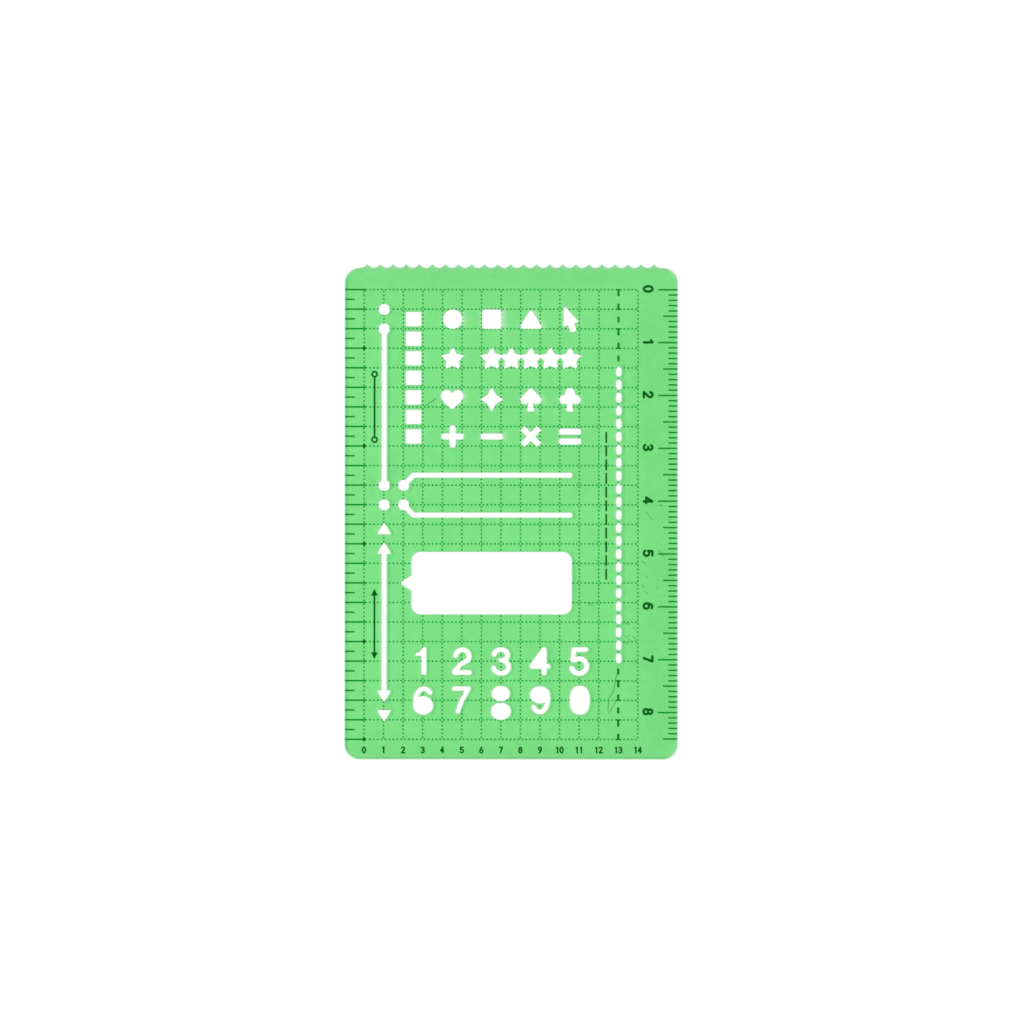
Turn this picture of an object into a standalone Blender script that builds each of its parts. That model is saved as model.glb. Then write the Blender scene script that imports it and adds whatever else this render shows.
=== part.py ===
# Pocket drawing stencil: one thin flexible plastic sheet, pierced with shapes to
# trace along, with a dark ink print on its upper face.
#
# The sheet lies flat: X across its width, Y along its length, Z through its
# thickness. The origin is the middle of the underside. Sizes are in millimetres
# and are turned into metres where each mesh is made.

import math

import bmesh
import bpy
from mathutils import Vector
from mathutils.geometry import delaunay_2d_cdt

MILLIMETRE = 0.001
# Points of crossing outlines that lie closer than this are taken as one, mm.
MERGE_GAP = 0.0005

# The sheet. Its length counts the crests of the scalloped top edge.
SHEET_WIDTH = 63.0
SHEET_LENGTH = 93.68
SHEET_THICKNESS = 0.5
CORNER_RADIUS = 2.7

# Scalloped top edge: round bays between sharp crests, a little left of the middle.
# The flanks rise as a power of the distance from a bay's middle.
BAYS_PER_PITCH = 1.5
BAY_POWER = 1.75
CREST_SHIFT = -0.14
CREST_HEIGHT = 0.7
CREST_CORNER_GAP = 1.4

# Printed grid, placed from the left and the bottom edge
GRID_PITCH = 3.7
GRID_COLUMNS = 15
GRID_ROWS = 24
LEFT_MARGIN_WIDTH = 3.68
BOTTOM_MARGIN_HEIGHT = 3.78

# Where the cut-outs lie, in columns and rows of the grid. Halves are cell middles.
TIMELINE_COLUMN = 1
RING_ROWS = (1, 2, 10, 11)
ARROW_UP_ROWS = (12, 13)
ARROW_DOWN_ROWS = (21, 22)
BOX_COLUMN = 2.5
BOX_FIRST_ROW = 1.5
SHAPE_COLUMNS = (4.5, 6.5, 8.5, 10.5)
SHAPE_ROW = 1.5
STAR_ROW = 3.5
SUIT_ROW = 5.5
SIGN_ROW = 7.5
SPEECH_RING_COLUMN = 2
SPEECH_COLUMNS = (2.5, 10.5)
SPEECH_LINE_ROWS = (10, 11)
BUBBLE_ROWS = (13.5, 16.5)
DIGIT_ROWS = (19, 21)
DIGIT_FIRST_COLUMN = 3
DIGIT_COLUMN_STEP = 2
GUIDE_COLUMN = 13

# Cut-outs are wider than the lines they draw, to let the pen's ball pass.
PEN_SLOT_WIDTH = 0.95
CUT_SHIFT_X = 0.07
CUT_SHIFT_Y = 0.04
DIGIT_SHIFT_X = -0.03
DIGIT_SHIFT_Y = 0.02
RING_DIAMETER = 2.12
ARROW_WIDTH = 2.7
ARROW_HEIGHT = 2.26
ARROW_APEX_OVERRUN = 0.4
ARROW_ROUNDING = 0.16
ARROW_SHAFT_INSET = 1.1
BOX_WIDTH = 2.9
BOX_HEIGHT = 2.72
BOX_ROUNDING = 0.25
BOX_COUNT = 7
LARGE_CIRCLE_DIAMETER = 3.68
LARGE_SQUARE_WIDTH = 3.65
LARGE_SQUARE_ROUNDING = 0.35
TRIANGLE_BASE = 4.6
TRIANGLE_HEIGHT = 3.86
TRIANGLE_DROP = 1.82
TRIANGLE_ROUNDING = 0.4
STAR_POINTS = 5
STAR_RADIUS = 2.39
STAR_WAIST = 1.25
STAR_ROUNDING = 0.2
STAR_DROP = 0.15
STARS_IN_RATING = 5
SIGN_LENGTH = 4.15
SIGN_WIDTH = 1.14
SIGN_ROUNDING = 0.3
TIMES_LENGTH = 4.6
EQUALS_PITCH = 1.87
BUBBLE_ROUNDING = 1.7
BUBBLE_MARGIN_WIDTH = 0.36
BUBBLE_TAIL_REACH = 2.1
BUBBLE_TAIL_WIDTH = 2.9
BUBBLE_TAIL_ROUNDING = 0.25
DIGIT_STROKE = 0.9
DIGIT_HEIGHT = 5.4
DIGIT_BOWL_WIDTH = 3.8
DIGIT_CORNER_ROUNDING = 0.15
SUIT_DROP = 0.46
SUIT_ROUNDING = 0.15
SPARKLE_RADIUS = 2.38
SPARKLE_WAIST = 1.22
SPEECH_LINE_OFFSET = 1.93

# Broken guide line: marks that are printed, then cut through, then printed
GUIDE_MARKS_PER_PITCH = 1.5
GUIDE_MARK_LEAD = 0.69
GUIDE_PRINTED_ABOVE = 6
GUIDE_SLOTS = 23
GUIDE_SLOT_LENGTH = 1.88
GUIDE_SLOT_WIDTH = 1.02
GUIDE_DASH_LENGTH = 1.12
GUIDE_DASH_WIDTH = 0.42

# Ink
INK_THICKNESS = 0.02
TICK_WIDTH = 0.24
SPINE_WIDTH = 0.15
EDGE_GAP = 0.05
MILLIMETRE_PITCH = 1.0
TENS_TICK = 3.65
FIVES_TICK = 2.7
UNITS_TICK = 1.7
HALF_CELL_TICK = 1.85
CELL_TICK_OVERRUN = 0.5
NUMERAL_HEIGHT = 2.0
NUMERAL_STROKE = 0.47
NUMERAL_INSET = 5.59
NUMERAL_LIFT = 0.16
NUMERAL_COUNT = 9

# Segments on a half circle, for the larger and the smaller curves
LARGE_ARC_STEPS = 14
SMALL_ARC_STEPS = 7
FINE_ARC_STEPS = 5


def clear_scene():
    for scene_object in list(bpy.data.objects):
        bpy.data.objects.remove(scene_object, do_unlink=True)


def make_material(name, colour, roughness, metallic=0.0):
    material = bpy.data.materials.new(name)
    material.use_nodes = True
    shader = material.node_tree.nodes["Principled BSDF"]
    shader.inputs["Base Color"].default_value = (*colour, 1.0)
    shader.inputs["Roughness"].default_value = roughness
    shader.inputs["Metallic"].default_value = metallic
    return material


def column_x(column):
    """X of a grid column; parts of a column are allowed."""
    return -SHEET_WIDTH / 2 + LEFT_MARGIN_WIDTH + column * GRID_PITCH


def row_y(row):
    """Y of a grid row, counted from the top; parts of a row are allowed."""
    return -SHEET_LENGTH / 2 + BOTTOM_MARGIN_HEIGHT + (GRID_ROWS - 1 - row) * GRID_PITCH


def cut_centre(column, row):
    """Place of a cut-out, which sits a little right of and below the print."""
    return column_x(column) + CUT_SHIFT_X, row_y(row) - CUT_SHIFT_Y


# Flat outlines: lists of (x, y) points that run anticlockwise

def arc(centre, radius_x, radius_y, start, end, steps):
    """Points from one angle to another, in degrees, both ends included."""
    points = []
    for step in range(steps + 1):
        angle = math.radians(start + (end - start) * step / steps)
        x = centre[0] + radius_x * math.cos(angle)
        y = centre[1] + radius_y * math.sin(angle)
        points.append((x, y))
    return points


def ellipse(centre, radius_x, radius_y, steps):
    return arc(centre, radius_x, radius_y, 0, 360, 2 * steps)[:-1]


def circle(centre, diameter, steps):
    return ellipse(centre, diameter / 2, diameter / 2, steps)


def superellipse(centre, radius_x, radius_y, power, quarter_steps):
    """Closed curve, squarer than an ellipse where the power is above 2."""
    points = []
    for index in range(4 * quarter_steps):
        angle = math.radians(90 * index / quarter_steps)
        cosine = math.cos(angle)
        sine = math.sin(angle)
        x = math.copysign(abs(cosine) ** (2 / power), cosine) * radius_x
        y = math.copysign(abs(sine) ** (2 / power), sine) * radius_y
        points.append((centre[0] + x, centre[1] + y))
    return points


def moved(points, centre):
    return [(x + centre[0], y + centre[1]) for x, y in points]


def mirrored(points):
    """The same points left of the Y axis, in the opposite order."""
    return [(-x, y) for x, y in reversed(points)]


def turned(points, degrees):
    cosine = math.cos(math.radians(degrees))
    sine = math.sin(math.radians(degrees))
    return [(x * cosine - y * sine, x * sine + y * cosine) for x, y in points]


def rounded(corners, radius, steps):
    """Polygon with its outward corners rounded; inward corners stay sharp."""
    points = []
    count = len(corners)
    for index, corner in enumerate(corners):
        here = Vector(corner)
        before = (Vector(corners[index - 1]) - here).normalized()
        after = (Vector(corners[(index + 1) % count]) - here).normalized()
        turn = before.x * after.y - before.y * after.x
        if turn >= 0:
            points.append(corner)
            continue
        half_angle = before.angle(after) / 2
        centre = here + (before + after).normalized() * (radius / math.sin(half_angle))
        from_angle = math.degrees(math.atan2(-before.x, before.y))
        sweep = 180 - math.degrees(2 * half_angle)
        start = from_angle + 180
        points += arc(centre, radius, radius, start, start + sweep, steps)
    return points


def rectangle(centre, width, height, radius, steps=SMALL_ARC_STEPS // 2):
    x = width / 2
    y = height / 2
    corners = [(-x, -y), (x, -y), (x, y), (-x, y)]
    return moved(rounded(corners, radius, steps), centre)


def band(path, width, steps=SMALL_ARC_STEPS):
    """Stroke of one width with round ends along a smooth path."""
    points = [Vector(point) for point in path]
    left = []
    right = []
    for index, point in enumerate(points):
        before = points[max(index - 1, 0)]
        after = points[min(index + 1, len(points) - 1)]
        along = (after - before).normalized()
        side = Vector((-along.y, along.x)) * (width / 2)
        left.append(tuple(point + side))
        right.append(tuple(point - side))
    last_way = points[-1] - points[-2]
    first_way = points[1] - points[0]
    last_angle = math.degrees(math.atan2(last_way.y, last_way.x))
    first_angle = math.degrees(math.atan2(first_way.y, first_way.x))
    radius = width / 2
    last_cap = arc(points[-1], radius, radius, last_angle - 90, last_angle + 90, steps)
    first_cap = arc(points[0], radius, radius, first_angle + 90, first_angle + 270, steps)
    return right[1:-1] + last_cap + left[-2:0:-1] + first_cap


def strokes(corners, width, steps=SMALL_ARC_STEPS):
    """One band for each straight run of a bent line."""
    return [band(pair, width, steps) for pair in zip(corners, corners[1:])]


# The sheet's outline

def crest_positions():
    pitch = GRID_PITCH / BAYS_PER_PITCH
    room = SHEET_WIDTH - 2 * (CORNER_RADIUS + CREST_CORNER_GAP)
    bays = int(room / pitch)
    first = -bays * pitch / 2
    return [first + index * pitch for index in range(bays + 1)]


def scalloped_edge(shoulder_y):
    """Top edge from right to left, with a half bay outside the end crests."""
    crests = crest_positions()
    pitch = GRID_PITCH / BAYS_PER_PITCH
    steps = SMALL_ARC_STEPS - 1
    offsets = [index / steps - 0.5 for index in range(steps + 1)]
    points = []
    bay_centres = [crests[0] - pitch / 2] + [x + pitch / 2 for x in crests]
    for centre in reversed(bay_centres):
        for offset in reversed(offsets):
            outside = abs(centre + offset * pitch) > crests[-1]
            rise = CREST_HEIGHT * abs(2 * offset) ** BAY_POWER
            if outside and (centre > 0) == (offset > 0):
                continue
            points.append((centre + offset * pitch + CREST_SHIFT, shoulder_y + rise))
    return without_repeats(points)


def without_repeats(points):
    kept = []
    for point in points:
        if not kept or math.dist(point, kept[-1]) > MERGE_GAP:
            kept.append(point)
    return kept


def sheet_outline():
    half_width = SHEET_WIDTH / 2
    bottom = -SHEET_LENGTH / 2
    shoulder = SHEET_LENGTH / 2 - CREST_HEIGHT
    low = bottom + CORNER_RADIUS
    high = shoulder - CORNER_RADIUS
    inner = half_width - CORNER_RADIUS
    radius = CORNER_RADIUS
    steps = SMALL_ARC_STEPS
    outline = arc((-inner, low), radius, radius, 180, 270, steps)
    outline += arc((inner, low), radius, radius, 270, 360, steps)
    outline += arc((inner, high), radius, radius, 0, 90, steps)
    outline += scalloped_edge(shoulder)
    outline += arc((-inner, high), radius, radius, 90, 180, steps)
    return outline


# Cut-outs

def arrow_head(apex, direction):
    """Triangle with its apex at a point; direction is 1 upwards, -1 downwards."""
    top = apex[1] + direction * ARROW_APEX_OVERRUN
    base = top - direction * ARROW_HEIGHT
    corners = [(apex[0], top)]
    corners.append((apex[0] - direction * ARROW_WIDTH / 2, base))
    corners.append((apex[0] + direction * ARROW_WIDTH / 2, base))
    return rounded(corners, ARROW_ROUNDING, SMALL_ARC_STEPS // 2)


def timeline_cuts():
    """Left column: rings, a long slot between two of them, and arrow heads."""
    rings = [cut_centre(TIMELINE_COLUMN, row) for row in RING_ROWS]
    up = [cut_centre(TIMELINE_COLUMN, row) for row in ARROW_UP_ROWS]
    down = [cut_centre(TIMELINE_COLUMN, row) for row in ARROW_DOWN_ROWS]
    x, shaft_top = up[-1]
    shaft_bottom = down[0][1]
    shaft = [(x, shaft_bottom + ARROW_SHAFT_INSET), (x, shaft_top - ARROW_SHAFT_INSET)]
    shapes = [circle(centre, RING_DIAMETER, SMALL_ARC_STEPS) for centre in rings]
    shapes += [arrow_head(apex, 1) for apex in up]
    shapes += [arrow_head(apex, -1) for apex in down]
    shapes.append(band([rings[2], rings[1]], PEN_SLOT_WIDTH))
    shapes.append(band(shaft, PEN_SLOT_WIDTH))
    return shapes


def check_box_cuts():
    shapes = []
    for index in range(BOX_COUNT):
        centre = cut_centre(BOX_COLUMN, BOX_FIRST_ROW + index)
        shapes.append(rectangle(centre, BOX_WIDTH, BOX_HEIGHT, BOX_ROUNDING))
    return shapes


def triangle_cut(centre):
    low = -TRIANGLE_DROP
    apex = (0, low + TRIANGLE_HEIGHT)
    corners = [(-TRIANGLE_BASE / 2, low), (TRIANGLE_BASE / 2, low), apex]
    return moved(rounded(corners, TRIANGLE_ROUNDING, SMALL_ARC_STEPS // 2), centre)


def pointer_cut(centre):
    """Slanted pointer arrow with a short tail."""
    corner_radius = 0.25
    tip = (-1.15, 2.65)
    left_barb = (-1.3, -1.6)
    left_notch = (-0.42, -1.05)
    tail_left = (0.2, -2.55)
    tail_right = (1.2, -2.15)
    right_notch = (0.82, -0.72)
    right_barb = (1.75, -0.55)
    corners = [tip, left_barb, left_notch, tail_left, tail_right, right_notch, right_barb]
    return moved(rounded(corners, corner_radius, SMALL_ARC_STEPS // 2), centre)


def star_cut(centre, points=STAR_POINTS, radius=STAR_RADIUS, waist=STAR_WAIST):
    corners = []
    for index in range(2 * points):
        reach = waist if index % 2 else radius
        angle = math.radians(90 + 180 * index / points)
        corners.append((reach * math.cos(angle), reach * math.sin(angle)))
    return moved(rounded(corners, STAR_ROUNDING, 2), centre)


def star_cuts():
    """One star, then a rating row of stars that run into each other."""
    columns = [SHAPE_COLUMNS[0]]
    columns += [SHAPE_COLUMNS[1] + index for index in range(STARS_IN_RATING)]
    shapes = []
    for column in columns:
        x, y = cut_centre(column, STAR_ROW)
        shapes.append(star_cut((x, y - STAR_DROP)))
    return shapes


def heart_cut(centre):
    """Two round lobes over a body that narrows to the tip."""
    lobe_x = 1.02
    lobe_y = 0.74
    lobe_radius = 1.12
    tip = (0, -1.86)
    side = (1.3, -0.72)
    shift = 0.1
    shoulder_reach = 0.87
    shoulder = (lobe_x + shoulder_reach, lobe_y - shoulder_reach)
    right_side = [side, shoulder, (lobe_x, lobe_y)]
    body = [tip, *right_side, *mirrored(right_side)]
    shapes = [rounded(body, SUIT_ROUNDING, 3)]
    for x in (-lobe_x, lobe_x):
        shapes.append(circle((x, lobe_y), 2 * lobe_radius, SMALL_ARC_STEPS + 2))
    return [moved(shape, (centre[0] - shift, centre[1])) for shape in shapes]


def sparkle_cut(centre):
    """Four-pointed sparkle, a little taller than it is wide."""
    points = 4
    narrowing = 0.94
    lift = 0.07
    upright = star_cut((0, lift), points, SPARKLE_RADIUS, SPARKLE_WAIST)
    return [moved([(x * narrowing, y) for x, y in upright], centre)]


def suit_stem():
    """Foot of the spade and of the club, which leans a little to the left."""
    foot_y = -2.2
    top_y = -0.4
    corners = [(-0.72, foot_y), (0.6, foot_y), (0.42, top_y), (-0.48, top_y)]
    return rounded(corners, SUIT_ROUNDING, 2)


def spade_cut(centre):
    lobe_x = 1.17
    lobe_radius = 0.82
    apex_y = 2.32
    shoulder = lobe_radius / math.sqrt(2)
    right_side = [(lobe_x, -shoulder), (lobe_x + shoulder, shoulder)]
    body = [*right_side, (0, apex_y), *mirrored(right_side)]
    shapes = [rounded(body, SUIT_ROUNDING, 2), suit_stem()]
    for x in (-lobe_x, lobe_x):
        shapes.append(circle((x, 0), 2 * lobe_radius, SMALL_ARC_STEPS))
    return [moved(shape, centre) for shape in shapes]


def club_cut(centre):
    lobe_x = 1.18
    lobe_y = 0.05
    top_y = 1.45
    lobe_radius = 0.85
    neck_x = 0.84
    low_y = -0.7
    high_y = 0.8
    right_side = [(lobe_x, low_y), (lobe_x, high_y), (neck_x, top_y)]
    body = right_side + mirrored(right_side)
    shapes = [body, suit_stem()]
    for spot in ((-lobe_x, lobe_y), (lobe_x, lobe_y), (0, top_y)):
        shapes.append(circle(spot, 2 * lobe_radius, SMALL_ARC_STEPS))
    return [moved(shape, centre) for shape in shapes]


def suit_cuts():
    shapes = []
    makers = (heart_cut, sparkle_cut, spade_cut, club_cut)
    for column, maker in zip(SHAPE_COLUMNS, makers):
        x, y = cut_centre(column, SUIT_ROW)
        shapes += maker((x, y - SUIT_DROP))
    return shapes


def sign_bar(centre, degrees=0, length=SIGN_LENGTH):
    bar = rectangle((0, 0), length, SIGN_WIDTH, SIGN_ROUNDING)
    return moved(turned(bar, degrees), centre)


def sign_cuts():
    """Plus, minus, times and equals."""
    plus, minus, times, equals = [cut_centre(column, SIGN_ROW) for column in SHAPE_COLUMNS]
    shapes = [sign_bar(plus), sign_bar(plus, 90), sign_bar(minus)]
    shapes += [sign_bar(times, 45, TIMES_LENGTH), sign_bar(times, -45, TIMES_LENGTH)]
    for side in (-1, 1):
        shapes.append(sign_bar((equals[0], equals[1] + side * EQUALS_PITCH / 2)))
    return shapes


def speech_line_cuts():
    """Two speech lines: a ring, a slanted run and a long level run."""
    shapes = []
    bend_x, end_x = [cut_centre(column, 0)[0] for column in SPEECH_COLUMNS]
    for row, side in zip(SPEECH_LINE_ROWS, (1, -1)):
        ring = cut_centre(SPEECH_RING_COLUMN, row)
        line_y = ring[1] + side * SPEECH_LINE_OFFSET
        route = [ring, (bend_x, line_y), (end_x, line_y)]
        shapes.append(circle(ring, RING_DIAMETER, SMALL_ARC_STEPS))
        shapes += strokes(route, PEN_SLOT_WIDTH)
    return shapes


def speech_bubble_box():
    """Left, right, low and high sides of the bubble's rectangle."""
    left, high = cut_centre(SPEECH_COLUMNS[0], BUBBLE_ROWS[0])
    right, low = cut_centre(SPEECH_COLUMNS[1], BUBBLE_ROWS[1])
    margin = BUBBLE_MARGIN_WIDTH
    return left - margin, right + margin, low - margin, high + margin


def speech_bubble_cuts():
    left, right, low, high = speech_bubble_box()
    centre = ((left + right) / 2, (low + high) / 2)
    box = rectangle(centre, right - left, high - low, BUBBLE_ROUNDING, SMALL_ARC_STEPS)
    inside = left + BUBBLE_ROUNDING / 2
    slope = BUBBLE_TAIL_WIDTH / 2 / BUBBLE_TAIL_REACH
    half = BUBBLE_TAIL_WIDTH / 2 + slope * (inside - left)
    tip = (left - BUBBLE_TAIL_REACH - BUBBLE_TAIL_ROUNDING / 2, centre[1])
    tail = [tip, (inside, centre[1] - half), (inside, centre[1] + half)]
    return [box, rounded(tail, BUBBLE_TAIL_ROUNDING, 3)]


def guide_mark_centre(index):
    y = row_y(0) - GUIDE_MARK_LEAD - index * GRID_PITCH / GUIDE_MARKS_PER_PITCH
    return column_x(GUIDE_COLUMN), y


def guide_slot_cuts():
    shapes = []
    reach = (GUIDE_SLOT_LENGTH - GUIDE_SLOT_WIDTH) / 2
    for index in range(GUIDE_PRINTED_ABOVE, GUIDE_PRINTED_ABOVE + GUIDE_SLOTS):
        x, y = guide_mark_centre(index)
        x += CUT_SHIFT_X
        route = [(x, y - reach), (x, y + reach)]
        shapes.append(band(route, GUIDE_SLOT_WIDTH, FINE_ARC_STEPS))
    return shapes


# Pierced digits. Closed counters would fall out, so they are cut away whole.
# Points are about the digit's centre, for a digit of the height below.
DIGIT_DRAWN_HEIGHT = 5.4


def digit_one():
    foot_y = -2.62
    flag_y = 1.0
    stem_left = -0.21
    stem_right = 0.7
    outline = [(stem_left, foot_y), (stem_right, foot_y), (stem_right, -foot_y)]
    outline += [(0.05, -foot_y), (-0.12, 2.2), (-0.5, 1.76), (-1.25, 1.46)]
    outline += [(-1.45, flag_y), (stem_left, flag_y)]
    return [rounded(outline, DIGIT_CORNER_ROUNDING, 2)]


def digit_two():
    bow_centre = (0.12, 0.86)
    bow_radius = 1.29
    foot_y = -2.17
    bow = arc(bow_centre, bow_radius, bow_radius, 172, -32, 12)
    back = strokes([bow[-1], (-0.14, -0.58), (-1.4, -1.98)], DIGIT_STROKE)
    foot = band([(-1.36, foot_y), (1.46, foot_y)], DIGIT_STROKE)
    return [band(bow[::-1], DIGIT_STROKE), *back, foot]


def digit_three():
    upper_centre = (0.02, 1.16)
    lower_centre = (0.05, -1.09)
    middle_y = 0.14
    middle_stroke = 0.62
    upper = arc(upper_centre, 1.29, 1.02, 174, -90, 13)
    lower = arc(lower_centre, 1.44, 1.24, 90, -171, 13)
    middle = band([(-0.15, middle_y), (0.4, middle_y)], middle_stroke, 4)
    return [band(upper[::-1], DIGIT_STROKE), band(lower[::-1], DIGIT_STROKE), middle]


def digit_four():
    stem_x = 0.8
    bar_y = -1.0
    sail_foot_y = -1.47
    stem = band([(stem_x, -2.2), (stem_x, 2.15)], DIGIT_STROKE + 0.08)
    bar = band([(-1.4, bar_y), (1.58, bar_y)], DIGIT_STROKE - 0.05)
    sail = [(-2.05, bar_y), (-1.6, sail_foot_y), (stem_x, sail_foot_y)]
    sail += [(1.2, 2.3), (0.42, 2.55)]
    return [stem, bar, rounded(sail, DIGIT_CORNER_ROUNDING, 3)]


def digit_five():
    top_y = 2.17
    top_left = (-0.98, top_y)
    bowl_centre = (0.01, -0.94)
    top = band([top_left, (1.28, top_y)], DIGIT_STROKE)
    side = band([(-1.2, 0.22), top_left], DIGIT_STROKE)
    bowl = arc(bowl_centre, 1.46, 1.4, 126, -162, 15)
    return [top, side, band(bowl[::-1], DIGIT_STROKE + 0.04)]


def digit_six():
    bowl_centre = (0.09, -1.0)
    tail_centre = (0.25, -0.35)
    tail_half_width = 1.62
    tail_half_height = 2.53
    bowl = ellipse(bowl_centre, DIGIT_BOWL_WIDTH / 2, 1.76, LARGE_ARC_STEPS)
    tail = arc(tail_centre, tail_half_width, tail_half_height, 45, 180, 11)
    return [bowl, band(tail, DIGIT_STROKE)]


def digit_seven():
    top_y = 2.18
    top_right = (1.28, top_y)
    top = band([(-1.4, top_y), top_right], DIGIT_STROKE - 0.06)
    leg = band([(-0.72, -2.12), (0.1, 0.12), top_right], DIGIT_STROKE - 0.04)
    return [top, leg]


def digit_eight():
    upper_centre = (0.0, 1.24)
    lower_centre = (0.0, -2.12)
    upper = ellipse(upper_centre, 1.74, 1.46, LARGE_ARC_STEPS)
    lower = ellipse(lower_centre, DIGIT_BOWL_WIDTH / 2, 1.62, LARGE_ARC_STEPS)
    return [upper, lower]


def digit_nine():
    bowl_centre = (0.02, 1.02)
    tail_centre = (-0.02, 0.45)
    tail_half_width = 1.55
    tail_half_height = DIGIT_DRAWN_HEIGHT / 2
    bowl = ellipse(bowl_centre, DIGIT_BOWL_WIDTH / 2, 1.64, LARGE_ARC_STEPS)
    tail = arc(tail_centre, tail_half_width, tail_half_height, -139, 0, 11)
    return [bowl, band(tail, DIGIT_STROKE)]


def digit_nought():
    centre = (0.15, 0.0)
    half_width = 1.91
    half_height = 2.74
    squareness = 2.4
    quarter_steps = LARGE_ARC_STEPS // 2 + 1
    return [superellipse(centre, half_width, half_height, squareness, quarter_steps)]


def digit_cuts():
    upper_line = (digit_one, digit_two, digit_three, digit_four, digit_five)
    lower_line = (digit_six, digit_seven, digit_eight, digit_nine, digit_nought)
    size = DIGIT_HEIGHT / DIGIT_DRAWN_HEIGHT
    shapes = []
    for row, makers in zip(DIGIT_ROWS, (upper_line, lower_line)):
        for index, maker in enumerate(makers):
            column = DIGIT_FIRST_COLUMN + DIGIT_COLUMN_STEP * index
            centre = (column_x(column) + DIGIT_SHIFT_X, row_y(row) + DIGIT_SHIFT_Y)
            for shape in maker():
                scaled = [(x * size, y * size) for x, y in shape]
                shapes.append(moved(scaled, centre))
    return shapes


def plain_shape_cuts():
    """Circle, square, triangle and pointer."""
    places = [cut_centre(column, SHAPE_ROW) for column in SHAPE_COLUMNS]
    side = LARGE_SQUARE_WIDTH
    shapes = [circle(places[0], LARGE_CIRCLE_DIAMETER, LARGE_ARC_STEPS)]
    shapes.append(rectangle(places[1], side, side, LARGE_SQUARE_ROUNDING))
    shapes.append(triangle_cut(places[2]))
    shapes.append(pointer_cut(places[3]))
    return shapes


def all_cuts():
    cuts = timeline_cuts() + check_box_cuts() + plain_shape_cuts()
    cuts += star_cuts() + suit_cuts() + sign_cuts()
    cuts += speech_line_cuts() + speech_bubble_cuts()
    cuts += digit_cuts() + guide_slot_cuts()
    return cuts


# Solids

def flat_solid(name, material, outlines, cuts, low, high):
    """Closed solid between two heights over the outlines, less the cuts."""
    coordinates = []
    loops = []
    for outline in outlines + cuts:
        start = len(coordinates)
        coordinates += [Vector(point) for point in outline]
        loops.append(list(range(start, len(coordinates))))
    result = delaunay_2d_cdt(coordinates, [], loops, 1, MERGE_GAP, True)
    points, triangles, owners = result[0], result[2], result[5]
    solid = bmesh.new()
    corners = {}
    floor = []
    for triangle, owner in zip(triangles, owners):
        if not owner or max(owner) >= len(outlines):
            continue
        for index in triangle:
            if index not in corners:
                x, y = points[index]
                place = Vector((x, y, low)) * MILLIMETRE
                corners[index] = solid.verts.new(place)
        floor.append(solid.faces.new([corners[index] for index in triangle]))
    raised = bmesh.ops.extrude_face_region(solid, geom=floor, use_keep_orig=True)
    for element in raised["geom"]:
        if isinstance(element, bmesh.types.BMVert):
            element.co.z = high * MILLIMETRE
    bmesh.ops.recalc_face_normals(solid, faces=solid.faces[:])
    mesh = bpy.data.meshes.new(name)
    solid.to_mesh(mesh)
    solid.free()
    mesh.materials.append(material)
    made = bpy.data.objects.new(name, mesh)
    bpy.context.scene.collection.objects.link(made)
    return made


def bar(x_from, x_to, y, width):
    half = width / 2
    return [(x_from, y - half), (x_to, y - half), (x_to, y + half), (x_from, y + half)]


def left_scale_outlines():
    """Ticks at every row and half row, joined by a line along the edge."""
    edge = -SHEET_WIDTH / 2 + EDGE_GAP
    spine_top = row_y(0) + TICK_WIDTH / 2
    spine_bottom = row_y(GRID_ROWS - 1) - TICK_WIDTH / 2
    spine_x = edge + SPINE_WIDTH
    spine = [(edge, spine_bottom), (spine_x, spine_bottom), (spine_x, spine_top), (edge, spine_top)]
    outlines = [spine]
    for half_row in range(2 * GRID_ROWS - 1):
        reach = column_x(0) + CELL_TICK_OVERRUN
        if half_row % 2:
            reach = edge + HALF_CELL_TICK
        outlines.append(bar(edge, reach, row_y(half_row / 2), TICK_WIDTH))
    return outlines


def scale_tick_count():
    room = row_y(0) - (-SHEET_LENGTH / 2 + BOTTOM_MARGIN_HEIGHT) + MERGE_GAP
    return int(room / MILLIMETRE_PITCH) + 1


def tick_y(index):
    return row_y(0) - index * MILLIMETRE_PITCH


def millimetre_scale_outlines():
    edge = SHEET_WIDTH / 2 - EDGE_GAP
    count = scale_tick_count()
    spine_x = edge - SPINE_WIDTH
    spine_top = tick_y(0) + TICK_WIDTH / 2
    spine_bottom = tick_y(count - 1) - TICK_WIDTH / 2
    spine = [(spine_x, spine_bottom), (edge, spine_bottom), (edge, spine_top), (spine_x, spine_top)]
    outlines = [spine]
    for index in range(count):
        length = UNITS_TICK
        if index % 10 == 0:
            length = TENS_TICK
        elif index % 5 == 0:
            length = FIVES_TICK
        outlines.append(bar(edge - length, edge, tick_y(index), TICK_WIDTH))
    return outlines


# Printed numerals: strokes about the centre, for a numeral of the height below
NUMERAL_DRAWN_HEIGHT = 2.0


def ring_strokes(centre, radius_x, radius_y):
    halves = []
    for start in (0, 180):
        halves.append(arc(centre, radius_x, radius_y, start, start + 180, 8))
    return halves


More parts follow.
